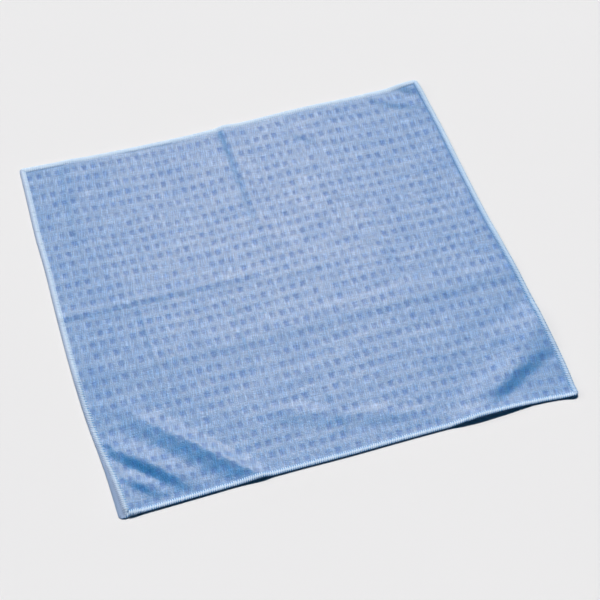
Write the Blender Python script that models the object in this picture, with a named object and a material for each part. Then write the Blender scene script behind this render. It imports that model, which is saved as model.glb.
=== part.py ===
"""A square microfibre cleaning cloth that lies spread out on a flat surface.

The cloth is one sheet with an overlocked edge. It was folded in four, so two pressed creases cross it, and
soft folds run over three of its corners. Every size below is in millimetres, and MM turns them into metres.
The cloth's own coordinates are those of the flat square, with its middle at zero: +x points right and +y to
the far side. The function laid() moves them to where the sides really lie.
"""

from typing import NamedTuple

import bmesh
import bpy
import numpy as np
from mathutils import Vector
from mathutils.geometry import delaunay_2d_cdt

MM = 0.001

# The cloth
SIDE = 400.0
HALF = SIDE / 2
CORNER_RADIUS = 4.0
CLOTH_THICKNESS = 1.5

# The overlocked edge, which is thicker than the cloth and rounded on its outside
HEM_WIDTH = 6.0
HEM_THICKNESS = 2.4

# How far apart the points of the mesh lie: along the edge, over the cloth, and along a fold, where the step
# is a share of the fold's width if that is more
EDGE_STEP = 10.0
FIELD_STEP = 13.0
CREST_STEP = 6.0
STEP_PER_WIDTH = 0.4
FEWEST_PIECES = 2

# The room that points keep from the hem, from the points of a fold, and in a fold from each other
ROOM_BESIDE_HEM = 3.0
ROOM_BESIDE_CREST = 6.0
ROOM_BETWEEN_CRESTS = 2.5

# How many straight pieces a crest has when a height is measured from it
CREST_PIECES = 24

# How the flat sheet is cut into triangles: only inside its outline, and points this close are one
TRIANGLES_INSIDE = 1
SAME_POINT = 1e-6

BLUE = (0.29, 0.43, 0.70, 1.0)
ROUGHNESS = 0.9


class HemRow(NamedTuple):
    """One line of the hem's cross-section: its distance in from the edge, and its lower and upper face."""

    inset: float
    lower: float
    upper: float


HEM_ROWS = (
    HemRow(inset=0.0, lower=0.45, upper=1.7),
    HemRow(inset=0.8, lower=0.0, upper=0.94 * HEM_THICKNESS),
    HemRow(inset=0.45 * HEM_WIDTH, lower=0.0, upper=HEM_THICKNESS),
    HemRow(inset=0.85 * HEM_WIDTH, lower=0.0, upper=0.88 * HEM_THICKNESS),
    HemRow(inset=HEM_WIDTH, lower=0.0, upper=CLOTH_THICKNESS),
)


class Bow(NamedTuple):
    """How far a side lies inside the square, at one place along it."""

    along: float
    inward: float


NEAR_SIDE = (
    Bow(-200, -1.7), Bow(-150, -0.9), Bow(-100, 0.1), Bow(0, 0.3), Bow(80, 0.3), Bow(135, 1.8), Bow(170, 1.2),
    Bow(200, -1.6),
)
FAR_SIDE = (
    Bow(-200, -0.8), Bow(-150, 1.5), Bow(-100, 4.0), Bow(-60, 4.8), Bow(-30, 4.4), Bow(0, 2.3), Bow(85, 1.7),
    Bow(130, 2.4), Bow(180, 2.2), Bow(200, -1.2),
)
LEFT_SIDE = (
    Bow(-200, 0.5), Bow(-175, 0.2), Bow(-156, -0.3), Bow(-130, -1.5), Bow(-98, -3.0), Bow(-35, -3.9),
    Bow(28, -2.8), Bow(112, -1.7), Bow(160, 0.1), Bow(200, 1.3),
)
RIGHT_SIDE = (
    Bow(-200, 2.0), Bow(-156, -1.2), Bow(-120, -2.2), Bow(-85, -1.7), Bow(-28, -0.5), Bow(14, 1.5),
    Bow(85, 1.5), Bow(156, 1.0), Bow(200, 2.0),
)


class Fold(NamedTuple):
    """A raised fold: three places on its crest, its height at each, and the width of either slope.

    Left and right are as seen when looking from the start to the end.
    """

    start: tuple
    middle: tuple
    end: tuple
    heights: tuple
    left: float
    right: float


FOLDS = {
    # name: (start, middle, end, heights, left, right)
    "crease across": Fold((-198, 14), (-100, 14.5), (-4, 13), (0.9, 1.3, 0.9), 10, 5),
    "crease across, right": Fold((2, 5), (24, 4.5), (50, 4), (0.3, 0.9, 0.2), 9, 5),
    "crease up": Fold((1, 204), (0, 130), (-1, 45), (1.8, 1.3, 0.2), 16, 5),
    "crease down": Fold((0, -124), (-1, -147), (0, -172), (0.2, 0.8, 0.2), 12, 5),
    "wide ridge": Fold((-204, -53), (0, -54), (204, -52), (0.3, 0.6, 0.6), 22, 20),
    "near left, inner": Fold((-167, -105), (-124, -148), (-73, -190), (0.8, 3.6, 1.6), 13, 13),
    "near left, outer": Fold((-190, -134), (-160, -161), (-135, -184), (1.9, 3.4, 0.9), 10, 8),
    "near left, corner": Fold((-186, -162), (-175, -172), (-162, -184), (1.0, 2.4, 0.8), 8, 7),
    "left hem, lifted": Fold((-199, -140), (-196, -174), (-193, -206), (0.3, 2.4, 3.4), 16, 7),
    "near middle": Fold((-54, -132), (-29, -137), (-2, -148), (0.4, 1.7, 0.8), 9, 18),
    "near middle, right": Fold((4, -153), (32, -158), (66, -167), (0.7, 1.5, 0.3), 8, 14),
    "near right": Fold((90, -201), (144, -167), (200, -126), (0.6, 5.8, 1.2), 25, 13),
    "near edge, lifted": Fold((86, -204), (140, -202), (206, -203), (0.0, 2.6, 2.4), 19, 19),
    "far right": Fold((148, 199), (168, 180), (194, 171), (1.0, 2.2, 0.8), 9, 8),
    "far right tip": Fold((178, 204), (191, 194), (204, 178), (1.8, 2.8, 1.8), 20, 11),
    "far middle": Fold((59, 173), (67, 162), (78, 151), (0.2, 0.9, 0.2), 9, 9),
    "far middle, right": Fold((92, 145), (122, 138), (152, 122), (0.4, 1.1, 0.2), 12, 9),
    "far left": Fold((-152, 204), (-156, 150), (-160, 95), (0.7, 0.9, 0.2), 16, 14),
}

# Where points lie across a fold, as a share of the slope's width: left of the crest, on it, right of it
ACROSS_CREST = (1.0, 0.66, 0.33, 0.0, -0.33, -0.66, -1.0)


def clear_scene():
    for old in list(bpy.data.objects):
        bpy.data.objects.remove(old, do_unlink=True)


def bow_at(side, along):
    """How far in a side lies at these places: a smooth line through the side's table."""
    stations = np.array([bow.along for bow in side], float)
    inward = np.array([bow.inward for bow in side])
    slopes = np.gradient(inward, stations)
    along = np.clip(along, stations[0], stations[-1])
    left = np.clip(np.searchsorted(stations, along) - 1, 0, len(side) - 2)
    gap = stations[left + 1] - stations[left]
    t = (along - stations[left]) / gap
    return (
        (1 + 2 * t) * (1 - t) ** 2 * inward[left]
        + t * (1 - t) ** 2 * gap * slopes[left]
        + t * t * (3 - 2 * t) * inward[left + 1]
        + t * t * (t - 1) * gap * slopes[left + 1]
    )


def laid(flat):
    """Where points of the flat square lie: each is moved by the sides that it stands between."""
    x, y = flat[:, 0], flat[:, 1]
    from_left = (x + HALF) / SIDE
    from_near = (y + HALF) / SIDE
    move_x = bow_at(LEFT_SIDE, y) * (1 - from_left) - bow_at(RIGHT_SIDE, y) * from_left
    move_y = bow_at(NEAR_SIDE, x) * (1 - from_near) - bow_at(FAR_SIDE, x) * from_near
    return np.stack([x + move_x, y + move_y], axis=1)


def crest_of(fold, pieces):
    """Points along the crest and the height at each: a parabola through the fold's three places."""
    t = np.linspace(0, 1, pieces + 1)
    weights = np.stack([(1 - t) * (1 - 2 * t), 4 * t * (1 - t), t * (2 * t - 1)], axis=1)
    return weights @ np.array([fold.start, fold.middle, fold.end], float), weights @ np.array(fold.heights)


def slope_shape(share):
    """1 on the crest, 0 at the foot of the slope and past it, with a soft top and a soft foot."""
    return np.cos(np.pi / 2 * np.minimum(share, 1)) ** 2


def height_of_fold(fold, points):
    """How far a fold lifts the cloth at these points of the flat square."""
    crest, heights = crest_of(fold, CREST_PIECES)
    begin, step = crest[:-1], np.diff(crest, axis=0)
    offset = points[:, None] - begin
    share = np.clip((offset * step).sum(axis=2) / (step * step).sum(axis=1), 0, 1)
    away = offset - share[..., None] * step
    distance = np.linalg.norm(away, axis=2)
    nearest = distance.argmin(axis=1)
    row = np.arange(len(points))
    share, away, distance = share[row, nearest], away[row, nearest], distance[row, nearest]
    turn = step[nearest, 0] * away[:, 1] - step[nearest, 1] * away[:, 0]
    width = np.where(turn > 0, fold.left, fold.right)
    height = heights[nearest] * (1 - share) + heights[nearest + 1] * share
    return height * slope_shape(distance / width)


def lift_at(points):
    """How far the cloth's underside stands off the surface at these points of the flat square."""
    return sum(height_of_fold(fold, points) for fold in FOLDS.values())


def hem_line(inset):
    """Points of the flat square along a line that runs round it at this distance from the edge."""
    straight = HALF - CORNER_RADIUS
    count = round(2 * straight / EDGE_STEP)
    along = np.linspace(-straight, straight, count + 1)
    out = HALF - inset
    radius = max(CORNER_RADIUS - inset, 0)
    corner = HALF - max(CORNER_RADIUS, inset)
    along = np.clip(along, -corner, corner)
    side = np.stack([along, np.full(count + 1, -out)], axis=1)
    turn = corner + radius * np.sin(np.pi / 4), -corner - radius * np.cos(np.pi / 4)
    side = np.vstack([side, turn]) if radius else side[:-1]
    quarter_turn = np.array([[0, 1], [-1, 0]])
    sides = [side]
    for _ in range(3):
        sides.append(sides[-1] @ quarter_turn)
    return np.vstack(sides)


def points_along_folds():
    """Points on each crest and down both of its slopes, in rows."""
    found = []
    for fold in FOLDS.values():
        length = np.linalg.norm(np.subtract(fold.end, fold.start))
        step = max(CREST_STEP, STEP_PER_WIDTH * max(fold.left, fold.right))
        crest, _ = crest_of(fold, max(FEWEST_PIECES, round(length / step)))
        along = np.gradient(crest, axis=0)
        along /= np.linalg.norm(along, axis=1)[:, None]
        to_left = np.stack([-along[:, 1], along[:, 0]], axis=1)
        for share in ACROSS_CREST:
            width = fold.left if share > 0 else fold.right
            found.append(crest + to_left * share * width)
    return np.vstack(found)


def field_points():
    """An even lattice over the whole cloth."""
    count = round(SIDE / FIELD_STEP)
    steps = np.linspace(-HALF, HALF, count + 1)
    x, y = np.meshgrid(steps, steps)
    return np.stack([x.ravel(), y.ravel()], axis=1)


def add_apart(kept, more, room):
    """The kept points and those of the others that stand at least this far from every point kept so far."""
    kept = list(kept)
    for point in more:
        if np.linalg.norm(np.array(kept) - point, axis=1).min() >= room:
            kept.append(point)
    return np.array(kept)


def inside_hem(points):
    """Those of the points that lie clear of the hem."""
    limit = HALF - HEM_WIDTH - ROOM_BESIDE_HEM
    return points[np.abs(points).max(axis=1) < limit]


def flat_layout():
    """(points, lines): the flat square's points, the hem's lines first, and how many points each line has."""
    lines = [hem_line(row.inset) for row in HEM_ROWS]
    folds = inside_hem(points_along_folds())
    inner = add_apart(folds[:1], folds[1:], ROOM_BETWEEN_CRESTS)
    inner = add_apart(inner, inside_hem(field_points()), ROOM_BESIDE_CREST)
    return np.vstack([*lines, inner]), [len(line) for line in lines]


def loop_edges(lengths):
    """The closed loops of the hem's lines, as pairs of point numbers."""
    edges, first = [], 0
    for length in lengths:
        edges += [(first + i, first + (i + 1) % length) for i in range(length)]
        first += length
    return edges


def thickness_rows(point_count, lengths):
    """The lower and upper face of the cloth at each point, above the line of its lift."""
    lower = np.zeros(point_count)
    upper = np.full(point_count, CLOTH_THICKNESS)
    first = 0
    for row, length in zip(HEM_ROWS, lengths):
        lower[first:first + length] = row.lower
        upper[first:first + length] = row.upper
        first += length
    return lower, upper


def flat_sheet(plan, lengths):
    """(sheet, number): a flat sheet of triangles inside the outline, and the layer of its points' numbers."""
    outline = list(range(lengths[0]))
    corners = [Vector(point) for point in plan]
    _, _, faces, sources, _, _ = delaunay_2d_cdt(
        corners, loop_edges(lengths), [outline], TRIANGLES_INSIDE, SAME_POINT
    )
    sheet = bmesh.new()
    number = sheet.verts.layers.int.new("number")
    verts = []
    for source in sources:
        vert = sheet.verts.new((*plan[source[0]], 0))
        vert[number] = source[0]
        verts.append(vert)
    for face in faces:
        sheet.faces.new([verts[i] for i in face])
    return sheet, number


def cloth_mesh():
    """The closed mesh of the cloth: a flat sheet, extruded and then given its heights."""
    flat, lengths = flat_layout()
    plan = laid(flat)
    middle = (plan.min(axis=0) + plan.max(axis=0)) / 2
    lift = lift_at(flat)
    lower, upper = thickness_rows(len(flat), lengths)

    sheet, number = flat_sheet(plan - middle, lengths)
    made = bmesh.ops.extrude_face_region(sheet, geom=sheet.faces[:], use_keep_orig=True)
    over = {item for item in made["geom"] if isinstance(item, bmesh.types.BMVert)}
    for vert in sheet.verts:
        level = upper if vert in over else lower
        vert.co.z = lift[vert[number]] + level[vert[number]]
    sheet.verts.layers.int.remove(number)
    bmesh.ops.recalc_face_normals(sheet, faces=sheet.faces[:])
    bmesh.ops.scale(sheet, vec=(MM, MM, MM), verts=sheet.verts[:])
    mesh = bpy.data.meshes.new("cloth")
    sheet.to_mesh(mesh)
    sheet.free()
    return mesh


def microfibre():
    """A matt blue finish."""
    material = bpy.data.materials.new("microfibre")
    material.use_nodes = True
    shader = material.node_tree.nodes["Principled BSDF"]
    shader.inputs["Base Color"].default_value = BLUE
    shader.inputs["Roughness"].default_value = ROUGHNESS
    shader.inputs["Metallic"].default_value = 0.0
    return material


def main():
    clear_scene()
    mesh = cloth_mesh()
    mesh.materials.append(microfibre())
    mesh.shade_smooth()
    cloth = bpy.data.objects.new("cloth", mesh)
    bpy.context.scene.collection.objects.link(cloth)


main()
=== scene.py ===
"""A square microfibre cleaning cloth that lies spread out after it was folded in four.

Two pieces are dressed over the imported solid: the knitted sheet with its sunken squares, and the overlock
sewing round its edge. Sizes are in millimetres, and MM turns them into metres. The cloth's own coordinates
are those of the flat square, with its middle at zero: +x points right and +y to the far side.
"""

import logging
import math
from dataclasses import dataclass, field
from enum import Enum

import bmesh
import bpy
import numpy as np
from mathutils import Matrix, Vector


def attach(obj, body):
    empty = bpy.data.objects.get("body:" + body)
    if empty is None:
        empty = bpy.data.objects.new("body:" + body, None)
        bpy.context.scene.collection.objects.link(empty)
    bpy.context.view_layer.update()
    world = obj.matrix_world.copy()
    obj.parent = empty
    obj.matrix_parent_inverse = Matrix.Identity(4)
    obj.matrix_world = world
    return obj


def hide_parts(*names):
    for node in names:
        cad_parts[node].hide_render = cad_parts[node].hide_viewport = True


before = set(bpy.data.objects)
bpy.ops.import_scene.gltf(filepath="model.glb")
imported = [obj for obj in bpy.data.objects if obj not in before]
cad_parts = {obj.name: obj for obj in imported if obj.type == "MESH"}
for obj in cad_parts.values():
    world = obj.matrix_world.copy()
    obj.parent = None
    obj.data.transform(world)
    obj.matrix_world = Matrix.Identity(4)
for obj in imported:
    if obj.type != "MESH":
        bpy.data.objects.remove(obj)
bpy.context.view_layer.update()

MM = 0.001
SIDE = 400.0
HALF = SIDE / 2
CORNER_RADIUS = 4.0
SEED = 11

Array = np.ndarray
Piece = bpy.types.Object
Socket = bpy.types.NodeSocket
Colour = tuple[float, float, float]
Point = tuple[float, float]

log = logging.getLogger("microfibre_cloth")


def fade(value: Array, low: float, high: float) -> Array:
    """Ease a value from 0 at low to 1 at high, which may be below low."""
    held = np.clip((value - low) / (high - low), 0, 1)
    return held * held * (3 - 2 * held)


def deselect_all() -> None:
    """Leave edit mode and select nothing."""
    if bpy.context.object and bpy.context.object.mode != "OBJECT":
        bpy.ops.object.mode_set(mode="OBJECT")
    bpy.ops.object.select_all(action="DESELECT")


def set_places(piece: Piece, places: Array) -> None:
    """Move all vertices of a piece to places given in millimetres."""
    piece.data.vertices.foreach_set("co", (places * MM).ravel())
    piece.data.update()


def places_of(piece: Piece) -> Array:
    """Read where a piece's vertices stand in its mesh.

    Args:
        piece: The piece.

    Returns:
        Their places as the mesh holds them, without any scaling.
    """
    found = np.empty(3 * len(piece.data.vertices))
    piece.data.vertices.foreach_get("co", found)
    return found.reshape(-1, 3)


def write_marks(piece: Piece, marks: dict[str, Array]) -> None:
    """Write numbers, one for each vertex, into a piece's mesh for its materials to read."""
    for name, values in marks.items():
        piece.data.attributes.new(name, "FLOAT", "POINT").data.foreach_set("value", values)


def wear(piece: Piece, *materials: bpy.types.Material) -> None:
    """Give a piece its materials in place of any others.

    Args:
        piece: The piece.
        *materials: Its materials, in the order of its faces' material numbers.
    """
    piece.data.materials.clear()
    for material in materials:
        piece.data.materials.append(material)


# How the cloth lies
# ------------------


@dataclass(frozen=True)
class At:
    """A value at one place, such as along a side or across the cloth."""

    place: float
    value: float


def value_at(table: tuple[At, ...], places: Array) -> Array:
    """Read a table at the given places, straight from row to row."""
    return np.interp(places, [row.place for row in table], [row.value for row in table])


@dataclass(frozen=True)
class Outline:
    """The four sides as they really lie: how far inside the square each is, along it."""

    near: tuple[At, ...] = (
        At(-200, -0.7), At(-150, 0.4), At(-100, 1.6), At(-50, 2.0), At(0, 1.9), At(30, 2.4), At(75, 2.9),
        At(100, 2.9), At(135, 3.8), At(160, 4.2), At(180, 2.8), At(200, 0.2),
    )
    far: tuple[At, ...] = (
        At(-200, -4.0), At(-150, -1.5), At(-100, 0.6), At(-60, 1.4), At(-30, 1.4), At(0, 0.4),
        At(30, -0.2), At(85, -1.6), At(130, -0.5), At(165, -0.9), At(200, -3.4),
    )
    left: tuple[At, ...] = (
        At(-200, 0.5), At(-175, 0.3), At(-156, 0.1), At(-130, -1.2), At(-98, -3.0), At(-35, -3.9),
        At(28, -2.8), At(75, -1.6), At(112, -1.6), At(160, 0.1), At(200, 1.3),
    )
    right: tuple[At, ...] = (
        At(-200, 1.1), At(-156, -1.8), At(-120, -1.6), At(-85, -2.2), At(-28, -1.6), At(14, -0.1),
        At(85, 0.1), At(130, -0.2), At(156, 0.1), At(180, 0.8), At(200, 2.0),
    )

    @staticmethod
    def inward(side: tuple[At, ...], along: Array) -> Array:
        """Find how far in a side lies, on a smooth line through its table.

        Args:
            side: The side's table.
            along: Places along the side.

        Returns:
            The distance inside the square at each place.
        """
        stations, depths = np.array([(row.place, row.value) for row in side], float).T
        slopes = np.gradient(depths, stations)
        along = np.clip(along, stations[0], stations[-1])
        first = np.clip(np.searchsorted(stations, along) - 1, 0, len(side) - 2)
        gap = stations[first + 1] - stations[first]
        t = (along - stations[first]) / gap
        return (
            (1 + 2 * t) * (1 - t) ** 2 * depths[first]
            + t * (1 - t) ** 2 * gap * slopes[first]
            + t * t * (3 - 2 * t) * depths[first + 1]
            + t * t * (t - 1) * gap * slopes[first + 1]
        )

    def laid(self, flat: Array) -> Array:
        """Move points of the flat square to where they lie.

        Args:
            flat: Points of the flat square.

        Returns:
            Their places on the table, before the outline is centred.
        """
        x, y = flat[:, 0], flat[:, 1]
        from_left = (x + HALF) / SIDE
        from_near = (y + HALF) / SIDE
        move_x = self.inward(self.left, y) * (1 - from_left) - self.inward(self.right, y) * from_left
        move_y = self.inward(self.near, x) * (1 - from_near) - self.inward(self.far, x) * from_near
        return np.stack([x + move_x, y + move_y], axis=1)


CREST_PIECES = 24


@dataclass(frozen=True)
class Fold:
    """A raised fold, as a parabola through three places with a slope on either side.

    Left and right are as seen when looking from the start to the end. A pressed fold has a sharp crest, and
    the rounding is that crest's radius. Both slopes may be narrowed towards the end.
    """

    start: Point
    middle: Point
    end: Point
    heights: tuple[float, float, float]
    left: float
    right: float
    pressed: float = 0.0
    rounding: float = 0.6
    narrowed: float = 1.0

    def crest(self) -> tuple[Array, Array]:
        """Cut the crest into straight pieces.

        Returns:
            The places where they begin and end, and the height at each.
        """
        t = np.linspace(0, 1, CREST_PIECES + 1)
        weights = np.stack([(1 - t) * (1 - 2 * t), 4 * t * (1 - t), t * (2 * t - 1)], axis=1)
        places = np.array([self.start, self.middle, self.end], float)
        return weights @ places, weights @ np.array(self.heights)

    def lift(self, points: Array) -> Array:
        """Find how far the fold lifts the cloth.

        Args:
            points: Points of the flat square.

        Returns:
            The height at each point.
        """
        crest, heights = self.crest()
        lifted = np.zeros(len(points))
        reach = max(self.left, self.right)
        low, high = crest.min(axis=0) - reach, crest.max(axis=0) + reach
        near = np.flatnonzero(((points >= low) & (points <= high)).all(axis=1))
        begin, step = crest[:-1], np.diff(crest, axis=0)
        offset = points[near][:, None] - begin
        share = np.clip((offset * step).sum(axis=2) / (step * step).sum(axis=1), 0, 1)
        away = offset - share[..., None] * step
        distance = np.linalg.norm(away, axis=2)
        closest = distance.argmin(axis=1)
        row = np.arange(len(near))
        share, away, distance = share[row, closest], away[row, closest], distance[row, closest]
        turn = step[closest, 0] * away[:, 1] - step[closest, 1] * away[:, 0]
        rounded = np.hypot(distance, self.rounding) - self.rounding
        width = np.where(turn > 0, self.left, self.right)
        width = width * (1 - (1 - self.narrowed) * (closest + share) / CREST_PIECES)
        down = np.minimum(rounded / width, 1)
        height = heights[closest] * (1 - share) + heights[closest + 1] * share
        soft = np.cos(np.pi / 2 * down) ** 2
        sharp = (1 - down) ** 2
        lifted[near] = height * (soft * (1 - self.pressed) + sharp * self.pressed)
        return lifted


FOLDS: dict[str, Fold] = {
    # name: Fold(start, middle, end, heights, left, right, pressed, rounding, narrowed)
    "crease across": Fold((-198, 12.8), (-100, 13.3), (-4, 12), (0.6, 0.55, 0.25), 11, 8, 0.3),
    "crease across, right": Fold((2, 4), (24, 3.5), (50, 3), (0.05, 0.25, 0.05), 9, 7, 0.3),
    "crease up": Fold((-1, 204), (-1, 130), (-1, 45), (1.9, 1.5, 0.3), 18, 7.5, 0.2),
    "crease down": Fold((0, -124), (-1, -147), (0, -172), (0.2, 0.8, 0.2), 12, 5, 0.3),
    "wide ridge": Fold((-204, -53), (0, -54), (204, -52), (0.3, 0.6, 0.6), 22, 20),
    "near left, inner": Fold(
        (-169.5, -97), (-125, -149), (-78.5, -197.5), (0.5, 3.6, 2.1), 16, 26,
        pressed=0.9, rounding=3.0, narrowed=0.55,
    ),
    "near left, outer": Fold(
        (-186, -135.5), (-159.5, -162), (-134.5, -189), (2.0, 3.6, 0.4), 18, 9, pressed=0.3, rounding=1.5,
    ),
    "near left, corner": Fold((-186, -163), (-175, -173), (-162, -185), (0.7, 1.9, 0.6), 9, 7),
    "left hem, lifted": Fold((-198, -140), (-195, -168), (-192, -192), (0.3, 2.2, 2.6), 16, 7),
    "near middle": Fold((-54, -138), (-30, -145), (-2, -159), (0.3, 1.2, 0.5), 11, 18, 0.2),
    "near middle, right": Fold((4, -160), (32, -167), (66, -178), (0.4, 0.8, 0.2), 10, 14, 0.2),
    "near right": Fold((112, -190.5), (151, -164), (200, -136), (1.3, 3.6, 0.9), 26, 15.5),
    "near right, upper": Fold((150, -137), (178, -126), (203, -112), (0.3, 2.5, 2.4), 27, 25),
    "near edge, lifted": Fold((84, -204), (119, -202), (160, -203), (0.0, 3.2, 0.2), 19, 19),
    "near edge, left": Fold((-186, -204), (-150, -203), (-60, -202), (0.3, 0.4, 0.1), 9, 9),
    "near right tip": Fold((186, -206), (197, -201), (206, -192), (0.2, 1.6, 0.8), 9, 9),
    "far right": Fold((148, 197), (168, 178), (194, 169), (0.5, 1.1, 0.4), 9, 8),
    "far right tip": Fold((178, 203), (191, 193), (204, 177), (1.3, 1.8, 1.0), 20, 11),
    "far middle": Fold((60.5, 173.5), (68.5, 162.5), (79.5, 151.5), (0.2, 1.0, 0.2), 17, 7),
    "far middle, right": Fold((92, 150), (122, 143), (152, 127), (0.1, 0.4, 0.1), 12, 9),
    "far left": Fold((-152, 204), (-156, 150), (-160, 95), (0.7, 0.9, 0.2), 16, 14),
}

PRESS_LINES: dict[str, Fold] = {
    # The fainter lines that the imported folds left.
    "left": Fold((-129, 40), (-129, -30), (-129, -100), (0.1, 0.35, 0.1), 4, 3, 0.5),
    "left of middle": Fold((-50, 30), (-50, -35), (-50, -90), (0.1, 0.4, 0.1), 4, 3, 0.5),
    "right of middle": Fold((25, -10), (25, -35), (25, -80), (0.1, 0.3, 0.1), 4, 3, 0.5),
    "right": Fold((99, 150), (101, 10), (100, -150), (0.15, 0.4, 0.15), 4, 3, 0.5),
}


@dataclass(frozen=True)
class HemRow:
    """The hem's section at one distance from its edge: the heights of its lower and its upper face."""

    inset: float
    lower: float
    upper: float


HEM_ROWS = (
    HemRow(0.0, 0.35, 1.15), HemRow(0.15, 0.35, 1.42), HemRow(0.3, 0.35, 1.60), HemRow(0.7, 0.30, 1.86),
    HemRow(1.3, 0.25, 2.05), HemRow(2.0, 0.20, 2.10), HemRow(2.7, 0.10, 2.04), HemRow(3.4, 0.0, 1.90),
    HemRow(4.1, 0.0, 1.72), HemRow(4.7, 0.0, 1.64), HemRow(5.3, 0.0, 1.61), HemRow(6.6, 0.0, 1.60),
)


class Side(Enum):
    """The four sides, in the order in which the sewing goes round, with the width of each one's hem."""

    NEAR = 0.97
    RIGHT = 1.05
    FAR = 1.2
    LEFT = 1.15


@dataclass(frozen=True)
class Groove:
    """The groove between the sewing and the field, which only parts of the right and the far hem have; the
    pile's finish paints shade into it.
    """

    depth: float = 0.55
    inset: float = 4.9
    half_width: float = 0.7
    right: tuple[At, ...] = (At(-200, 0.2), At(-60, 0.6), At(0, 0.9), At(60, 1), At(200, 1))
    far: tuple[At, ...] = (
        At(-200, 0.7), At(-165, 0.6), At(-150, 0), At(-105, 0), At(-95, 0.5), At(-60, 0.5),
        At(-48, 0), At(165, 0), At(190, 0.8),
    )

    def sunk(self, flat: Array, inset: Array) -> Array:
        """Find how deep the groove is.

        Args:
            flat: Points of the flat square.
            inset: Their distances in from the nearest edge.

        Returns:
            The depth at each point.
        """
        on_right = HALF - flat[:, 0] < HALF - np.abs(flat[:, 1])
        on_far = ~on_right & (HALF - flat[:, 1] < HALF - np.abs(flat[:, 0]))
        shown = value_at(self.right, flat[:, 1]) * on_right + value_at(self.far, flat[:, 0]) * on_far
        return self.depth * shown * (1 - fade(np.abs(inset - self.inset), 0, self.half_width))


@dataclass(frozen=True)
class Skirt:
    """The near left corner, where the hem turns over and shows its outer face down to the table."""

    begins: float = -112.0
    ends: float = -200.0
    width: float = 4.6
    taken_up: float = 20.0
    flattened: float = 0.75
    brim: float = HEM_ROWS[2].inset * Side.LEFT.value

    def share(self, flat: Array) -> Array:
        """Find how far the hem has turned over at each point, from 0 to 1 along the left side."""
        return fade(flat[:, 1], self.begins, self.ends)

    def turned(self, flat: Array) -> Array:
        """Move the sewing in from the edge along the left side's near end.

        Args:
            flat: Points of the flat square.

        Returns:
            The points, with the sewing moved in and the field beside it pressed together.
        """
        inset = flat[:, 0] + HALF
        sewn = HEM_ROWS[-1].inset * Side.LEFT.value
        rise = np.clip(inset / self.brim, 0, 1) * (1 - fade(inset, sewn, sewn + self.taken_up))
        return flat + np.stack([self.width * self.share(flat) * rise, np.zeros(len(flat))], axis=1)

    def hanging(self, flat: Array) -> Array:
        """Find how far each point hangs down to the table: only the edge itself does."""
        return self.share(flat) * (1 - np.clip((flat[:, 0] + HALF) / self.brim, 0, 1))


@dataclass(frozen=True)
class Lay:
    """Everything that turns the flat square into the cloth as it lies."""

    outline: Outline = Outline()
    skirt: Skirt = Skirt()
    groove: Groove = Groove()
    middle: Point = (0.0, 0.0)

    def rounded(self, flat: Array) -> Array:
        """Round the square's corners.

        Args:
            flat: Points of the flat square with sharp corners.

        Returns:
            The points, with those in the corners drawn in to a quarter circle.
        """
        moved = flat.copy()
        over = np.maximum(np.abs(flat) - (HALF - CORNER_RADIUS), 0)
        corner = (over > 0).all(axis=1)
        reach = over[corner].max(axis=1)
        length = np.linalg.norm(over[corner], axis=1)
        inner = np.sign(flat[corner]) * (HALF - CORNER_RADIUS)
        moved[corner] = inner + np.sign(flat[corner]) * over[corner] * (reach / length)[:, None]
        return moved

    def plan(self, flat: Array) -> Array:
        """Find where points of the flat square lie on the table, seen from above."""
        return self.outline.laid(self.rounded(flat)) - np.array(self.middle)

    @classmethod
    def centred(cls) -> "Lay":
        """Move the middle of the outline to zero, as the solid has it.

        Returns:
            The lay with its middle worked out.
        """
        loose = cls()
        steps = np.linspace(-HALF, HALF, 41)
        ends = np.full(len(steps), HALF)
        sides = ((steps, -ends), (steps, ends), (-ends, steps), (ends, steps))
        plan = loose.plan(np.vstack([np.stack(pair, axis=1) for pair in sides]))
        return cls(middle=tuple((plan.min(axis=0) + plan.max(axis=0)) / 2))

    def lift(self, flat: Array) -> Array:
        """Find how far the folds lift the cloth off the table at points of the flat square."""
        return sum(fold.lift(flat) for fold in FOLDS.values())

    def press(self, flat: Array) -> Array:
        """Find the height of the faint press lines, which only the upper face shows."""
        return sum(line.lift(flat) for line in PRESS_LINES.values())

    @staticmethod
    def insets(flat: Array) -> Array:
        """Find how far points of the flat square lie in from each side, as shares of its hem's width."""
        from_sides = (HALF + flat[:, 1], HALF - flat[:, 0], HALF - flat[:, 1], HALF + flat[:, 0])
        return np.stack([distance / side.value for side, distance in zip(Side, from_sides)])

    def inset(self, flat: Array) -> Array:
        """Find how far points of the flat square lie in from the nearest side."""
        return self.insets(flat).min(axis=0)

    def nearest_side(self, flat: Array) -> Array:
        """Find the number of the side whose hem each point of the flat square is in."""
        return self.insets(flat).argmin(axis=0)

    @staticmethod
    def section(inset: Array) -> tuple[Array, Array]:
        """Find the heights of the lower and the upper face at distances in from the edge, without folds."""
        stations, lower, upper = np.array([(row.inset, row.lower, row.upper) for row in HEM_ROWS]).T
        return np.interp(inset, stations, lower), np.interp(inset, stations, upper)


UV_KNIT = "knit"
UV_REPEATS = 64
SQUARE_STRENGTH = "square_strength"
HEM_INSET = "hem_inset"
# Marks for painted shade: in the groove beside the hem, under the near hem's edge, across each hem, and on
# the left hem's outer edge and the skirt.
FURROW_SHADE = "furrow_shade"
UNDER_EDGE_SHADE = "painted_under_shade"
THREAD_SHADE = "thread_shade"
EDGE_SHADE = "painted_edge_shade"
LOOPS_SHOWN = "loops_shown"

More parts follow.
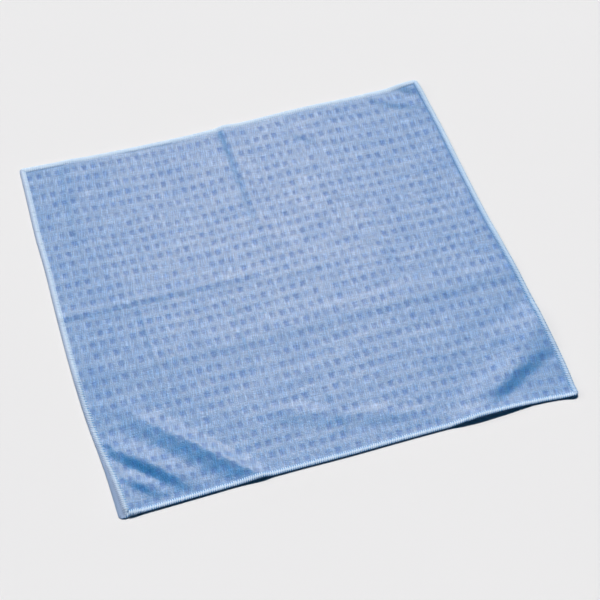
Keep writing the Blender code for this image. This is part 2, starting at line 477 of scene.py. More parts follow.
# Painted shade on each side's thread, deepening inwards from the rim; the right hem, whose inner side faces
# away from the light, gets most.
SHADED_THREAD = {Side.NEAR: 0.15, Side.RIGHT: 0.50, Side.FAR: 0.15, Side.LEFT: 0.14}
LOOPS_SHOWN_ALONG = {
    Side.NEAR: (At(-200, 1.0),),
    Side.RIGHT: (At(-200, 1.0), At(-60, 0.9), At(0, 0.4), At(200, 0.35)),
    Side.FAR: (At(-200, 0.35),),
    Side.LEFT: (At(-200, 0.9), At(-140, 1.0), At(-70, 1.0), At(-45, 0.5), At(-20, 0.35), At(200, 0.25)),
}


@dataclass(frozen=True)
class HemLook:
    """How the sewing looks round the hem: where shade is painted on it, under the near edge, across each
    hem and on the left edge and the skirt, and where its loops stand out.
    """

    lay: Lay
    outermost: float = 1.0
    clear_of_skirt: Point = (9.0, 13.0)
    under_shade_height: Point = (1.70, 1.25)
    shaded_inset: Point = (0.6, 4.0)
    shade_at_rim: float = 0.1
    edge_shade_inset: Point = (2.7, 0.7)
    edge_shade_left: float = 0.8
    edge_shade_skirt: float = 0.75

    def loops_shown(self, flat: Array) -> Array:
        """Find how clearly the loops of thread stand out of the hem at points of the flat square."""
        shown = [value_at(LOOPS_SHOWN_ALONG[side], along) for side, along in zip(Side, [*flat.T] * 2)]
        return np.choose(self.lay.nearest_side(flat), shown)

    def marks(self, flat: Array, height: Array) -> dict[str, Array]:
        """Work out the marks that the thread's finish reads.

        Args:
            flat: The point of the flat square at each vertex.
            height: The height of each vertex above the cloth's underside, in millimetres.

        Returns:
            The value at each vertex, by the mark's name.
        """
        kept = np.clip(flat, -HALF, HALF)
        inset, side = self.lay.inset(kept), self.lay.nearest_side(kept)
        # Painted shade under the near hem's outer edge, on its lowest part, clear of the skirt.
        shaded_under = (flat[:, 1] < self.outermost - HALF) * fade(flat[:, 0] + HALF, *self.clear_of_skirt)
        # Painted shade across each hem, deeper inwards.
        shaded = self.shade_at_rim + (1 - self.shade_at_rim) * fade(inset, *self.shaded_inset)
        # Painted shade on the left hem's outer edge and on the skirt, which face away from the light.
        outer_left = (side == list(Side).index(Side.LEFT)) * fade(inset, *self.edge_shade_inset)
        hanging = self.lay.skirt.hanging(kept)
        return {
            UNDER_EDGE_SHADE: shaded_under * fade(height, *self.under_shade_height),
            THREAD_SHADE: np.array([SHADED_THREAD[one] for one in Side])[side] * shaded,
            EDGE_SHADE: np.maximum(self.edge_shade_left * outer_left, self.edge_shade_skirt * hanging),
            LOOPS_SHOWN: self.loops_shown(kept),
        }


# The knit's pattern
# ------------------


@dataclass(frozen=True)
class Knit:
    """The small sunken squares: where their columns and rows run, and how deep they are."""

    columns: tuple[At, ...] = (
        At(-200, 8.7), At(-150, 8.7), At(-100, 8.3), At(-30, 8.9), At(10, 9.1), At(60, 8.6),
        At(130, 8.9), At(200, 8.9),
    )
    rows: tuple[At, ...] = (
        At(-200, 12.6), At(-130, 12.4), At(-95, 13.0), At(-60, 14.6), At(-40, 12.8),
        At(-8, 11.0), At(20, 12.8), At(50, 12.4), At(80, 10.8), At(110, 13.2), At(150, 13.3),
        At(200, 13.4),
    )
    first_column: float = -192.8
    first_row: float = -192.8
    depth: float = 0.26
    column_shares: tuple[float, ...] = (-0.41, -0.29, -0.17, 0.17, 0.29, 0.41)
    row_shares: tuple[float, ...] = (-0.40, -0.29, -0.20, -0.07, 0.07, 0.20, 0.29, 0.40)
    half_width: float = 0.29
    half_height: float = 0.27
    soft_edge: float = 0.13
    marked: float = 0.74
    marked_spread: float = 0.20
    faintest: float = 0.15

    def squares(self) -> tuple[Array, Array]:
        """Find the places of the columns and of the rows that lie on the cloth."""
        return self.centres(self.columns, self.first_column), self.centres(self.rows, self.first_row)

    @staticmethod
    def centres(pitches: tuple[At, ...], first: float) -> Array:
        """Step from square to square across the cloth.

        Args:
            pitches: The table of pitches.
            first: The place of the first square.

        Returns:
            The place of each column or row.
        """
        places = [first]
        while places[-1] < HALF:
            places.append(places[-1] + value_at(pitches, places[-1]))
        return np.array([place for place in places if place < HALF - HEM_ROWS[-1].inset + 2])

    @staticmethod
    def numbered(centres: Array, places: Array) -> Array:
        """Count in squares.

        Args:
            centres: The places of the columns or rows.
            places: Places across the cloth.

        Returns:
            The number of squares up to each place, which ends in a half at a square's middle.
        """
        first, last = centres[1] - centres[0], centres[-1] - centres[-2]
        stations = np.concatenate([[centres[0] - 2 * first], centres, [centres[-1] + 2 * last]])
        numbers = np.concatenate([[-2], np.arange(len(centres)), [len(centres) + 1]]) + 0.5
        return np.interp(places, stations, numbers)

    def lines(self, centres: Array, shares: tuple[float, ...], first: Side, last: Side) -> Array:
        """Place the mesh lines across the cloth: the hem's on either side and some round each square.

        Args:
            centres: The places of the columns or rows.
            shares: Where lines lie in a square's room, from -0.5 to 0.5.
            first: The side at which the lines begin.
            last: The side at which they end.

        Returns:
            The places of the lines, from side to side.
        """
        rows = np.array([row.inset for row in HEM_ROWS])
        gaps = np.gradient(centres)
        inner = (centres[:, None] + gaps[:, None] * np.array(shares)).ravel()
        low, high = rows * first.value - HALF, HALF - rows[::-1] * last.value
        inner = inner[(inner > low[-1] + 0.5) & (inner < high[0] - 0.5)]
        return np.concatenate([low, inner, high])


class Face(Enum):
    """The two faces of the sheet."""

    UPPER = "upper"
    UNDER = "under"


# Finishes
# --------


class Graph:
    """Builds one material's nodes. Its place is the piece's own coordinates, in metres."""

    def __init__(self, name: str) -> None:
        """Start a material.

        Args:
            name: The material's name.
        """
        self.material = bpy.data.materials.new(name)
        self.material.use_nodes = True
        self.tree = self.material.node_tree
        self.shader = self.tree.nodes["Principled BSDF"]
        self.place = self.node("TexCoord", {}).outputs["Object"]

    def feed(self, socket: Socket, value: object) -> None:
        """Set what goes into a socket.

        Args:
            socket: The socket.
            value: Another socket, or a constant.
        """
        if isinstance(value, Socket):
            self.tree.links.new(value, socket)
        else:
            socket.default_value = value

    def node(self, kind: str, inputs: dict[str | int, object], **settings: object) -> bpy.types.Node:
        """Add a node.

        Args:
            kind: Blender's name for it, after ShaderNode.
            inputs: What goes into its sockets, by their names or numbers.
            **settings: Its other settings.

        Returns:
            The node.
        """
        node = self.tree.nodes.new("ShaderNode" + kind)
        for name, value in settings.items():
            setattr(node, name, value)
        for key, value in inputs.items():
            self.feed(node.inputs[key], value)
        return node

    def maths(self, operation: str, *values: object, clamp: bool = False) -> Socket:
        """Work out a sum, by Blender's name for it, and hold it between 0 and 1 if asked to."""
        return self.node("Math", dict(enumerate(values)), operation=operation, use_clamp=clamp).outputs[0]

    def scaled(self, value: object, by: float, plus: object = 0.0, clamp: bool = False) -> Socket:
        """Multiply a value by a number and add another value."""
        return self.maths("MULTIPLY_ADD", value, by, plus, clamp=clamp)

    def vector(self, operation: str, *values: object) -> Socket:
        """Work out a vector sum, by Blender's name for it."""
        return self.node("VectorMath", dict(enumerate(values)), operation=operation).outputs[0]

    def lighten(self, colour: object, factor: Socket) -> Socket:
        """Multiply a colour by a number."""
        return self.node("VectorMath", {0: colour, "Scale": factor}, operation="SCALE").outputs[0]

    def split(self, vector: Socket) -> bpy.types.NodeOutputs:
        """Split a vector into its X, Y and Z."""
        return self.node("SeparateXYZ", {0: vector}).outputs

    def mapped(self, source: Socket, scale: Colour, turn: float = 0.0) -> Socket:
        """Turn coordinates by degrees about the upright axis, then fit so many repeats into a unit."""
        turned = self.node("Mapping", {"Vector": source, "Rotation": (0, 0, math.radians(turn))})
        return self.node("Mapping", {"Vector": turned.outputs[0], "Scale": scale}).outputs[0]

    def noise(self, place: Socket, scale: float, detail: float = 2.0) -> Socket:
        """Add soft noise about 0.5, with so many spots to a unit and so many finer layers."""
        return self.node("TexNoise", {"Vector": place, "Scale": scale, "Detail": detail}).outputs["Fac"]

    def spread(self, value: Socket, low: float, high: float) -> Socket:
        """Ease a value from 0 at low to 1 at high."""
        inputs = {"Value": value, "From Min": low, "From Max": high}
        return self.node("MapRange", inputs, interpolation_type="SMOOTHSTEP").outputs["Result"]

    def mix(self, share: object, first: object, second: object) -> Socket:
        """Mix two colours.

        Args:
            share: The share of the second colour.
            first: A colour or a socket.
            second: A colour or a socket.

        Returns:
            The mixed colour.
        """
        node = self.node("Mix", {"Factor": share}, data_type="RGBA")
        for socket, colour in zip((s for s in node.inputs if s.type == "RGBA"), (first, second)):
            self.feed(socket, (*colour, 1.0) if isinstance(colour, tuple) else colour)
        return next(s for s in node.outputs if s.type == "RGBA")

    def attribute(self, name: str) -> Socket:
        """Read one of the mesh's own numbers by its name."""
        return self.node("Attribute", {}, attribute_name=name).outputs["Fac"]

    def bump(self, height: Socket, depth: float) -> None:
        """Raise the surface's fine relief by a height, over a depth in metres."""
        relief = self.node("Bump", {"Distance": depth, "Height": height})
        self.feed(self.shader.inputs["Normal"], relief.outputs[0])

    def set(self, sockets: dict[str, object]) -> None:
        """Set the shader's own sockets by their names."""
        for name, value in sockets.items():
            self.feed(self.shader.inputs[name], value)


@dataclass(frozen=True)
class PileFinish:
    """Light blue microfibre pile: fine leaning wales, darker sunken squares with painted shade at their far
    left, painted shade in the groove beside the hem, and a pale sheen.
    """

    name: str = "microfibre_pile"
    ground: Colour = (0.042, 0.285, 0.630)
    patch: Colour = (0.036, 0.275, 0.630)
    square: Colour = (0.028, 0.215, 0.570)
    beside_hem: Colour = (0.240, 0.430, 0.720)
    # The colour of painted shade in the groove beside the hem.
    furrow_shade: Colour = (0.030, 0.180, 0.420)
    gloss: Colour = (0.95, 0.74, 0.54)
    smoothest: float = 0.57
    wale_pitch: float = 0.65
    wale_length: float = 12.0
    wale_lean: float = 9.0
    course_lean: float = 3.0
    line_edge: Point = (0.42, 0.70)
    fuzz_density: float = 900.0
    fuzz_depth: float = 0.0006
    darkest: float = 0.56
    patch_density: Colour = (28.0, 75.0, 0.0)
    patch_lean: float = -4.0
    patch_edge: Point = (0.35, 0.68)
    stray_density: float = 420.0
    stray_reach: float = 3.0
    clear_of_hem: Point = (4.2, 5.6)

    def material(self, knit: Knit) -> bpy.types.Material:
        """Make the material.

        Args:
            knit: The pattern, for the size of its squares.

        Returns:
            The finished material.
        """
        g = Graph(self.name)
        place, furrow_shade = g.place, g.attribute(FURROW_SHADE)
        patches = g.noise(g.mapped(place, self.patch_density, self.patch_lean), 1.0, 3.0)
        patches = g.spread(patches, *self.patch_edge)
        mask = self.square_mask(g, knit)

        across, along = 1 / (self.wale_pitch * MM), 1 / (self.wale_length * MM)
        wales = g.noise(g.mapped(place, (across, along, 0.0), self.wale_lean), 1.0, 1.0)
        courses = g.noise(g.mapped(place, (along, across, 0.0), self.course_lean), 1.0, 1.0)
        streaks = g.noise(g.mapped(place, (across, along * 4, 0.0), self.wale_lean), 1.3)
        wales, courses = g.spread(wales, *self.line_edge), g.spread(courses, *self.line_edge)
        lines = g.scaled(wales, 0.6, g.scaled(courses, 0.4))
        tone = g.scaled(streaks, 0.5, g.scaled(g.noise(place, self.fuzz_density), 0.5))

        colour = g.mix(mask, g.mix(patches, self.ground, self.patch), self.square)
        colour = g.lighten(colour, g.scaled(lines, 0.5, g.scaled(tone, 0.5, self.darkest)))
        strayed = g.scaled(g.noise(place, self.stray_density), self.stray_reach, -self.stray_reach / 2)
        clear = g.spread(g.maths("ADD", g.attribute(HEM_INSET), strayed), *self.clear_of_hem)
        colour = g.mix(clear, self.beside_hem, colour)
        # Painted shade in the groove beside the hem.
        colour = g.mix(g.scaled(furrow_shade, 0.8), colour, self.furrow_shade)

        rough = g.scaled(lines, -0.12, g.scaled(patches, 0.035, g.scaled(mask, 0.13, self.smoothest)))
        rough = g.maths("ADD", g.scaled(furrow_shade, 0.35, rough, clamp=True), self.nap(g))
        g.set({
            "Base Color": colour, "Roughness": rough, "IOR": 2.0, "Specular IOR Level": 1.0,
            "Specular Tint": (*self.gloss, 1.0),
        })
        g.bump(tone, self.fuzz_depth)
        return g.material

    @staticmethod
    def nap(g: Graph) -> Socket:
        """Let the pile stand up more towards the left, the right and the far side, where it gleams less.

        Args:
            g: The material's graph.

        Returns:
            What the standing pile adds to the roughness.
        """
        parts = g.split(g.place)
        aside = g.spread(g.maths("ABSOLUTE", g.maths("ADD", parts["X"], 0.01)), 0.05, 0.21)
        return g.scaled(aside, 0.045, g.scaled(g.spread(parts["Y"], 0.02, 0.21), 0.03))

    @staticmethod
    def square_mask(g: Graph, knit: Knit) -> Socket:
        """Mark the sunken squares, with ragged edges and a painted shade strongest at their far left
        corner, for the shadow of each pit's far wall.

        Args:
            g: The material's graph.
            knit: The pattern.

        Returns:
            The share of square colour.
        """
        squares = g.mapped(g.node("UVMap", {}, uv_map=UV_KNIT).outputs["UV"], (UV_REPEATS, UV_REPEATS, 0.0))
        cell = g.vector("SUBTRACT", g.vector("FRACTION", squares), (0.5, 0.5, 0.0))
        side, reach = g.split(cell), g.split(g.vector("ABSOLUTE", cell))
        across = g.maths("DIVIDE", reach["X"], knit.half_width)
        along = g.maths("DIVIDE", reach["Y"], knit.half_height)
        ragged = g.scaled(g.noise(g.place, 520.0), 1.1, -0.55)
        far = g.maths("ADD", g.maths("SMOOTH_MAX", across, along, 0.35), ragged)
        inside = g.maths("SUBTRACT", 1.0, g.spread(far, 0.65, 1.15))
        mottled = g.scaled(g.spread(g.noise(g.place, 700.0, 1.0), 0.25, 0.62), 0.55, 0.45)
        # Painted shade, strongest at each square's far left, for the shadow of the pit's far wall.
        far_wall_shade = g.scaled(g.maths("SUBTRACT", side["Y"], side["X"]), 0.8, 1.0)
        shade = g.maths("MULTIPLY", g.maths("MULTIPLY", inside, mottled), far_wall_shade)
        return g.maths("MULTIPLY", shade, g.attribute(SQUARE_STRENGTH))


@dataclass(frozen=True)
class ThreadFinish:
    """Pale blue textured sewing thread, with painted shade where the hem's marks ask for it."""

    name: str
    light: Colour = (0.76, 0.86, 0.95)
    # The darker colour is mixed in at random as wear, and by the thread's mark as painted shade.
    dark: Colour = (0.33, 0.53, 0.82)
    worn: float = 0.25
    gap: Colour | None = None
    # Painted shade under the near hem's edge, standing in for the shadow there.
    under: Colour = (0.004, 0.110, 0.290)
    # Painted shade on the left hem's outer edge and on the skirt.
    painted_edge_shade: Colour = (0.40, 0.48, 0.64)
    roughness: float = 0.7
    gap_from: float = 2.3
    gap_edge: Point = (0.7, 1.5)
    fibre_density: float = 2500.0
    fibre_depth: float = 0.0002

    def material(self) -> bpy.types.Material:
        """Make the material.

        Returns:
            The finished material, darker between the loops where it has a colour for their gaps.
        """
        g = Graph(self.name)
        fibres = g.noise(g.place, self.fibre_density)
        tone = g.spread(g.scaled(fibres, 0.6, g.scaled(g.noise(g.place, 90.0), 0.4)), 0.3, 0.7)
        # Random wear, plus painted shade from the thread's mark.
        shade = g.scaled(tone, self.worn, g.attribute(THREAD_SHADE), clamp=True)
        colour = g.mix(shade, self.light, self.dark)
        if self.gap:
            from_middle = g.maths("ABSOLUTE", g.maths("SUBTRACT", g.attribute(HEM_INSET), self.gap_from))
            teeth = g.scaled(g.spread(from_middle, *self.gap_edge), 0.7, 0.3)
            colour = g.mix(g.maths("MULTIPLY", teeth, g.attribute(LOOPS_SHOWN)), colour, self.gap)
        # Painted shade on the left hem's outer edge and the skirt.
        colour = g.mix(g.attribute(EDGE_SHADE), colour, self.painted_edge_shade)
        # Painted shade under the near hem's edge.
        colour = g.mix(g.attribute(UNDER_EDGE_SHADE), colour, self.under)
        g.set({"Base Color": colour, "Roughness": self.roughness, "Specular IOR Level": 0.2})
        g.bump(fibres, self.fibre_depth)
        return g.material


@dataclass(frozen=True)
class TableFinish:
    """The plain pale surface that the cloth lies on."""

    name: str = "pale_table"
    colour: Colour = (0.80, 0.80, 0.805)

    def material(self) -> bpy.types.Material:
        """Make the material.

        Returns:
            The finished material.
        """
        g = Graph(self.name)
        shade = g.scaled(g.noise(g.place, 3.0, 3.0), 0.02, 0.99)
        g.set({"Base Color": g.lighten(self.colour, shade), "Roughness": 0.8, "Specular IOR Level": 0.2})
        return g.material


# The pieces
# ----------


@dataclass
class ClothSheet:
    """The knitted square, one closed thin sheet whose upper face carries the sunken squares."""

    lay: Lay
    knit: Knit
    name: str = "microfibre_sheet"
    under_step: int = 3
    sewn_width: float = 4.5
    settled: float = 14.0
    jog: float = -1.5
    jog_across: Point = (99.0, 103.0)
    jog_along: Point = (150.0, 120.0)
    piece: Piece | None = field(default=None, init=False)

    def build(self) -> Piece:
        """Make the sheet from two grids, shaped and joined round their edge.

        Returns:
            The finished sheet.
        """
        columns, rows = self.knit.squares()
        lines_x = self.knit.lines(columns, self.knit.column_shares, Side.LEFT, Side.RIGHT)
        lines_y = self.knit.lines(rows, self.knit.row_shares, Side.NEAR, Side.FAR)
        under_x, under_y = self.every_few(len(lines_x)), self.every_few(len(lines_y))

        under = self.grid(lines_x[under_x], lines_y[under_y], Face.UNDER)
        upper = self.grid(lines_x, lines_y, Face.UPPER)
        deselect_all()
        under.select_set(True)
        upper.select_set(True)
        bpy.context.view_layer.objects.active = upper
        bpy.ops.object.join()
        self.close_rim(upper, len(lines_x), len(lines_y), under_x, under_y)
        upper.name = upper.data.name = self.name
        bpy.ops.object.shade_smooth()
        self.piece = upper
        return upper

    def every_few(self, count: int) -> Array:
        """Pick the lines that the under face keeps: both ends, and one in a few between."""
        inner = np.arange(self.under_step, count - self.under_step + 1, self.under_step)
        return np.concatenate([[0], inner[inner < count - 2], [count - 1]])

    def grid(self, lines_x: Array, lines_y: Array, face: Face) -> Piece:
        """Make one face of the sheet.

        Args:
            lines_x: The places of its mesh lines across the cloth.
            lines_y: The places of its mesh lines along the cloth.
            face: Which face it is.

        Returns:
            The shaped face, with its vertices row by row.
        """
        deselect_all()
        bpy.ops.mesh.primitive_grid_add(x_subdivisions=len(lines_x) - 1, y_subdivisions=len(lines_y) - 1)
        piece = bpy.context.object
        flat = np.stack(np.meshgrid(lines_x, lines_y), axis=-1).reshape(-1, 2)
        columns, rows = self.knit.squares()
        counted = np.stack([self.knit.numbered(columns, flat[:, 0]), self.knit.numbered(rows, flat[:, 1])])
        pits, strength = self.pits(counted, (len(columns), len(rows)))
        flat = self.wander(flat)
        set_places(piece, self.shaped(flat, pits, face))
        if face is Face.UNDER:
            bpy.ops.object.mode_set(mode="EDIT")
            bpy.ops.mesh.select_all(action="SELECT")
            bpy.ops.mesh.flip_normals()
            bpy.ops.object.mode_set(mode="OBJECT")
        self.map_pattern(piece, counted)
        inset, height = self.lay.inset(flat), places_of(piece)[:, 2] / MM - self.lay.lift(flat)
        sunk = self.lay.groove.sunk(flat, inset) / self.lay.groove.depth
        own = {SQUARE_STRENGTH: strength, HEM_INSET: inset, FURROW_SHADE: sunk}
        write_marks(piece, own | HemLook(self.lay).marks(flat, height))
        return piece

    def pits(self, counted: Array, squares: tuple[int, int]) -> tuple[Array, Array]:
        """Work out the sunken squares.

        Args:
            counted: Each vertex's place, counted in columns and in rows.
            squares: How many columns and rows there are.

        Returns:
            How deep the upper face is sunk at each vertex, and how marked the vertex's square is.
        """
        knit = self.knit
        drawn = np.random.default_rng(SEED).normal(knit.marked, knit.marked_spread, squares)
        col, row = (np.clip(np.floor(c).astype(int), 0, n - 1) for c, n in zip(counted, squares))
        strength = np.clip(drawn, knit.faintest, 1.0)[col, row]
        across, along = np.abs(counted - np.stack([col, row]) - 0.5)
        edge = knit.soft_edge / 2
        inside = fade(across, knit.half_width + edge, knit.half_width - edge)
        inside *= fade(along, knit.half_height + edge, knit.half_height - edge)
        return inside * strength * knit.depth, strength

    def wander(self, flat: Array) -> Array:
        """Let columns and rows wander a little, except at the hem, and step at the right press line.

        Args:
            flat: Points of the flat square.

        Returns:
            The moved points.
        """
        x, y = flat.T
        sewn = HEM_ROWS[-1].inset
        room = fade(self.lay.inset(flat), sewn, sewn + self.settled)
        jog = self.jog * fade(x, *self.jog_across) * fade(np.abs(y), *self.jog_along)
        move_x = 0.7 * np.sin(y / 23 + 1.2 * np.sin(x / 57)) + 0.4 * np.sin(y / 9.5 + x / 31)
        move_y = 0.8 * np.sin(x / 37 + 0.9 * np.sin(y / 43)) + 0.35 * np.sin(x / 11 + y / 29) + jog
        return flat + np.stack([move_x * room, move_y * room], axis=1)

    def shaped(self, flat: Array, pits: Array, face: Face) -> Array:
        """Place vertices of one face.

        Args:
            flat: Their points of the flat square.
            pits: How deep the upper face is sunk at each.
            face: Which face it is.

        Returns:
            Their places in millimetres.
        """
        inset = self.lay.inset(flat)
        lower, upper = self.lay.section(inset)
        upper = upper - self.lay.groove.sunk(flat, inset)
        hanging = self.lay.skirt.hanging(flat)
        flat = self.lay.skirt.turned(flat)
        lift = self.lay.lift(flat) * (1 - hanging)
        lower, upper = lower * (1 - hanging), upper * (1 - self.lay.skirt.flattened * hanging)
        plan = self.lay.plan(flat)
        if face is Face.UNDER:
            return np.column_stack([plan, lift + lower])
        room = fade(inset, HEM_ROWS[-2].inset, HEM_ROWS[-1].inset + 0.2)
        height = lift + upper + (self.lay.press(flat) + self.rumple(flat) - pits) * room
        return np.column_stack([plan, height])

    def rumple(self, flat: Array) -> Array:
        """Give the upper face a faint unevenness, a tenth or two of a millimetre high.

        Args:
            flat: Points of the flat square.

        Returns:
            The height to add at each.
        """
        x, y = flat.T
        slow = np.sin(x / 19 + 1.7 * np.sin(y / 27)) * np.sin(y / 23 + 1.3 * np.sin(x / 35))
        quick = np.sin(x / 7.3 + 1.1 * np.sin(y / 11)) * np.sin(y / 8.1 + 1.9 * np.sin(x / 13))
        return 0.13 * slow + 0.05 * quick

    @staticmethod
    def map_pattern(piece: Piece, counted: Array) -> None:
        """Write the pattern's map into the mesh.

        Args:
            piece: The face to map.
            counted: Each vertex's place, counted in columns and in rows.
        """
        mesh = piece.data
        mesh.uv_layers[0].name = UV_KNIT
        corner = np.empty(len(mesh.loops), dtype=np.int32)
        mesh.loops.foreach_get("vertex_index", corner)
        mesh.uv_layers[UV_KNIT].data.foreach_set("uv", ((counted.T + 2)[corner] / UV_REPEATS).ravel())

    @staticmethod
    def close_rim(piece: Piece, across: int, along: int, under_x: Array, under_y: Array) -> None:
        """Join the two faces round the edge.

        Args:
            piece: The joined faces, the upper one's vertices first.
            across: How many mesh lines the upper face has across.
            along: How many mesh lines the upper face has along.
            under_x: Which of the lines across the under face keeps.
            under_y: Which of the lines along the under face keeps.
        """
        near, right = [(i, 0) for i in range(across)], [(across - 1, j) for j in range(along)]
        far, left = [(i, along - 1) for i in range(across)], [(0, j) for j in range(along)]
        walk = near[:-1] + right[:-1] + far[:0:-1] + left[::-1]
        kept_x, kept_y = ({int(n): k for k, n in enumerate(lines)} for lines in (under_x, under_y))
        stops = [n for n, (i, j) in enumerate(walk) if i in kept_x and j in kept_y]
        shape = bmesh.new()
        shape.from_mesh(piece.data)
        shape.verts.ensure_lookup_table()
        for first, last in zip(stops, stops[1:]):
            top = [j * across + i for i, j in walk[last:first:-1] + [walk[first]]]
            ends = (walk[first], walk[last])
            under = [across * along + kept_y[j] * len(kept_x) + kept_x[i] for i, j in ends]
            shape.faces.new([shape.verts[n] for n in under + top])
        shape.to_mesh(piece.data)
        shape.free()

    def dress(self, pile: bpy.types.Material, bed: bpy.types.Material) -> None:
        """Give the field its pile and the rim the colour of its sewing.

        Args:
            pile: The finish of the field.
            bed: The finish of the hem under its stitches.
        """
        mesh = self.piece.data
        wear(self.piece, pile, bed)
        inset = np.empty(len(mesh.vertices))
        mesh.attributes[HEM_INSET].data.foreach_get("value", inset)
        for face in mesh.polygons:
            face.material_index = int(inset[list(face.vertices)].mean() < self.sewn_width)


LOOP_STEPS = (
    # One thread's way over the hem: its distance in from the edge, and its height.
    At(4.6, 1.45), At(4.1, 1.76), At(3.5, 1.90), At(2.7, 2.03), At(1.8, 2.08), At(0.9, 1.92),
    At(0.25, 1.54), At(-0.05, 1.10), At(0.15, 0.70),
)


@dataclass
class OverlockEdge:
    """The sewing round the edge: slanted loops of thread that wrap the hem."""

    lay: Lay
    name: str = "overlock_stitches"
    pitch: float = 1.85
    slant: float = 0.9
    half_width: float = 0.52
    half_height: float = 0.26
    sunk: float = 0.22
    sides: int = 6
    room: float = 10.0
    piece: Piece | None = field(default=None, init=False)

    def build(self) -> Piece:
        """Make one loop, repeat it and lay the loops round the hem.

        Returns:
            The finished sewing.
        """
        count = round(4 * SIDE / self.pitch)
        self.straight_loop()
        piece = bpy.context.object
        repeat = piece.modifiers.new("round the hem", "ARRAY")
        repeat.count = count
        repeat.use_relative_offset = False
        repeat.use_constant_offset = True
        repeat.constant_offset_displace = (self.room, 0, 0)
        bpy.ops.object.modifier_apply(modifier=repeat.name)
        set_places(piece, self.wrapped(piece, places_of(piece), count))
        bpy.ops.object.shade_smooth()
        piece.name = piece.data.name = self.name
        self.piece = piece
        return piece

    def straight_loop(self) -> None:
        """Make one loop as a straight closed tube along +y, a unit long for each step."""
        deselect_all()
        bpy.ops.mesh.primitive_circle_add(
            vertices=self.sides, radius=1, fill_type="NGON", rotation=(math.pi / 2, 0, 0)
        )
        bpy.ops.object.transform_apply(location=False, rotation=True, scale=False)
        bpy.ops.object.mode_set(mode="EDIT")
        bpy.ops.mesh.select_all(action="SELECT")
        for _ in range(len(LOOP_STEPS) - 1):
            bpy.ops.mesh.extrude_region_move(TRANSFORM_OT_translate={"value": (0, 1, 0)})
        bpy.ops.mesh.select_all(action="SELECT")
        bpy.ops.mesh.normals_make_consistent(inside=False)
        bpy.ops.object.mode_set(mode="OBJECT")

    def wrapped(self, piece: Piece, straight: Array, count: int) -> Array:
        """Lay the loops over the hem and mark them for their finish.

        Args:
            piece: The piece to mark.
            straight: The vertices of all the straight tubes.
            count: How many loops there are.

        Returns:
            Their places in millimetres.
        """
        random = np.random.default_rng(SEED + 1)
        shift = random.normal(0, 0.10, count)
        thick = 1 + random.normal(0, 0.10, count)
        tall = random.normal(0, 0.05, count)

        number = np.rint(straight[:, 0] / self.room).astype(int)
        step = np.rint(straight[:, 1]).astype(int)
        sideways = straight[:, 0] - number * self.room
        outward = straight[:, 2]

        inset, height = np.array([(step.place, step.value) for step in LOOP_STEPS]).T
        run, rise = np.gradient(inset), np.gradient(height)
        length = np.hypot(run, rise)
        share = step / (len(LOOP_STEPS) - 1)

        along = (number + 0.5) * (4 * SIDE / count) + shift[number] + self.slant * (0.5 - share)
        along += sideways * self.half_width * thick[number]
        swell = outward * self.half_height * thick[number]
        inward = inset[step] + swell * (rise / length)[step]
        up = height[step] - swell * (run / length)[step] + tall[number]
        flat = self.on_side(along, inward)
        look = HemLook(self.lay)
        up -= self.sunk * (1 - look.loops_shown(np.clip(flat, -HALF, HALF)))
        kept = np.clip(flat, -HALF + self.lay.skirt.brim, HALF)
        turned = self.lay.skirt.turned(kept) - kept + flat
        lift = self.lay.lift(np.clip(turned, -HALF, HALF))
        write_marks(piece, look.marks(flat, up))
        return np.column_stack([self.lay.plan(turned), lift + up])

    @staticmethod
    def on_side(along: Array, inward: Array) -> Array:
        """Find points of the flat square from their distance along the edge and in from it.

        Args:
            along: Distances along the edge, from the near left corner by way of the near right one.
            inward: Distances in from the edge.

        Returns:
            The points of the flat square.
        """
        along = np.mod(along, 4 * SIDE)
        side = np.floor(along / SIDE).astype(int)
        out = HALF - inward * np.array([one.value for one in Side])[side]
        on = np.clip(along - side * SIDE - HALF, -out, out)
        quarter_turns = np.array([1, 1j, -1, -1j])
        turned = (on - 1j * out) * quarter_turns[side]
        return np.stack([turned.real, turned.imag], axis=1)

    def dress(self, thread: bpy.types.Material) -> None:
        """Give the loops their thread."""
        wear(self.piece, thread)


# The studio
# ----------


@dataclass(frozen=True)
class Camera:
    """The camera, which looks from the near left side at the photograph's angle."""

    image_width: float = 600.0
    focal_pixels: float = 1726.8
    sensor: float = 36.0
    middle_row: float = 299.5
    azimuth: float = -16.763
    elevation: float = 50.784
    roll: float = -0.7641
    target: Colour = (0.00695, -0.02939, 0.0)
    distance: float = 1.5247

    def build(self) -> Piece:
        """Place the camera and make it the scene's own.

        Returns:
            The camera.
        """
        angles = (self.azimuth, 90 - self.elevation, self.roll)
        turn, tilt, roll = (Matrix.Rotation(math.radians(a), 4, axis) for a, axis in zip(angles, "ZXZ"))
        back = Matrix.Translation((0, 0, self.distance))

        deselect_all()
        bpy.ops.object.camera_add()
        camera = bpy.context.object
        camera.name = "photo_camera"
        camera.matrix_world = Matrix.Translation(self.target) @ turn @ tilt @ roll @ back
        camera.data.sensor_fit = "HORIZONTAL"
        camera.data.sensor_width = self.sensor
        camera.data.lens = self.focal_pixels / self.image_width * self.sensor
        camera.data.shift_y = (self.image_width / 2 - self.middle_row) / self.image_width
        bpy.context.scene.camera = camera
        return camera


class LightUse(Enum):
    """What a lamp adds: the even light on things, or only their gleam."""

    MATT = "matt"
    GLEAM = "gleam"


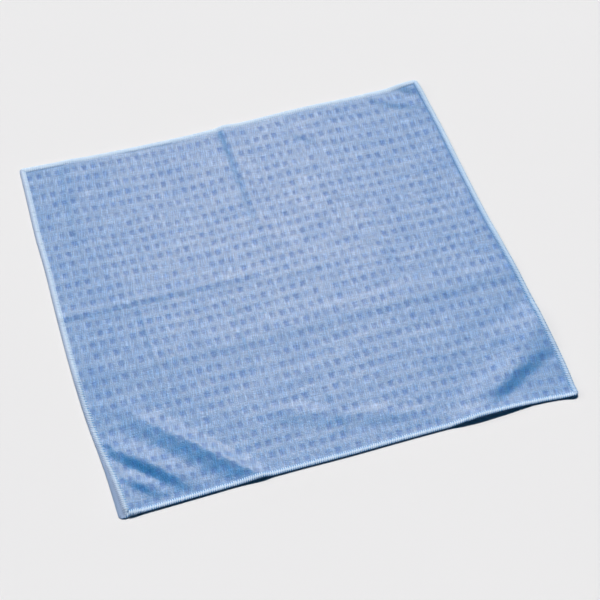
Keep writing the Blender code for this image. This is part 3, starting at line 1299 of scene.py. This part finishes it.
@dataclass(frozen=True)
class SoftLight:
    """A large soft lamp, far enough away to light the whole table evenly."""

    name: str
    azimuth: float
    elevation: float
    breadth: float
    power: float
    colour: Colour = (1.0, 0.957, 0.917)
    use: LightUse = LightUse.MATT

    def build(self) -> Piece:
        """Place the lamp.

        Returns:
            The lamp.
        """
        deselect_all()
        turn, rise = math.radians(self.azimuth), math.radians(self.elevation)
        towards = Vector((math.sin(turn) * math.cos(rise), math.cos(turn) * math.cos(rise), math.sin(rise)))
        bpy.ops.object.light_add(type="SUN", location=towards * 2)
        lamp = bpy.context.object
        lamp.name = self.name
        lamp.rotation_euler = towards.to_track_quat("Z", "Y").to_euler()
        lamp.data.angle = math.radians(self.breadth)
        lamp.data.energy = self.power
        lamp.data.color = self.colour
        lamp.visible_glossy = self.use is LightUse.GLEAM
        lamp.visible_diffuse = self.use is LightUse.MATT
        return lamp


@dataclass(frozen=True)
class Studio:
    """The pale table, the lamps and the light of the room."""

    table: TableFinish = TableFinish()
    table_size: float = 24.0
    table_drop: float = 0.0001
    room_light: float = 0.065
    room_colour: Colour = (0.10, 0.60, 1.15)
    lamps: tuple[SoftLight, ...] = (
        SoftLight("main_light", azimuth=14.0, elevation=62.0, breadth=8.0, power=2.85),
        SoftLight("left_light", azimuth=-65.0, elevation=28.0, breadth=25.0, power=0.48),
        SoftLight("gleam_light", azimuth=17.0, elevation=40.0, breadth=8.0, power=2.30, use=LightUse.GLEAM),
    )

    def build(self) -> Piece:
        """Build the table, the lamps and the room's light.

        Returns:
            The table.
        """
        deselect_all()
        bpy.ops.mesh.primitive_plane_add(size=self.table_size, location=(0, 0, -self.table_drop))
        bpy.ops.object.transform_apply(location=True, rotation=False, scale=False)
        table = bpy.context.object
        table.name = "pale_table"
        table.data.materials.append(self.table.material())
        for lamp in self.lamps:
            lamp.build()
        world = bpy.data.worlds.new("soft_room")
        world.use_nodes = True
        background = world.node_tree.nodes["Background"]
        background.inputs["Color"].default_value = (*self.room_colour, 1.0)
        background.inputs["Strength"].default_value = self.room_light
        bpy.context.scene.world = world
        view = bpy.context.scene.view_settings
        view.view_transform, view.look = "Standard", "Medium High Contrast"
        return table


def main() -> None:
    """Build the cloth, its sewing and the studio in order."""
    logging.basicConfig(level=logging.INFO, format="%(name)s: %(message)s")
    lay, knit = Lay.centred(), Knit()

    cloth = ClothSheet(lay, knit)
    sheet = cloth.build()
    bed = ThreadFinish("overlock_bed", (0.72, 0.83, 0.94), (0.30, 0.50, 0.80), gap=(0.14, 0.34, 0.64))
    cloth.dress(PileFinish().material(knit), bed.material())
    log.info("sheet: %d vertices, %d faces", len(sheet.data.vertices), len(sheet.data.polygons))

    edge = OverlockEdge(lay)
    stitches = edge.build()
    edge.dress(ThreadFinish("overlock_thread").material())
    log.info("stitches: %d vertices, %d faces", len(stitches.data.vertices), len(stitches.data.polygons))

    for piece in (sheet, stitches):
        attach(piece, "root")
        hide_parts("cloth")

    Studio().build()
    Camera().build()
    log.info("studio and camera are in place")


if __name__ == "__main__":
    main()
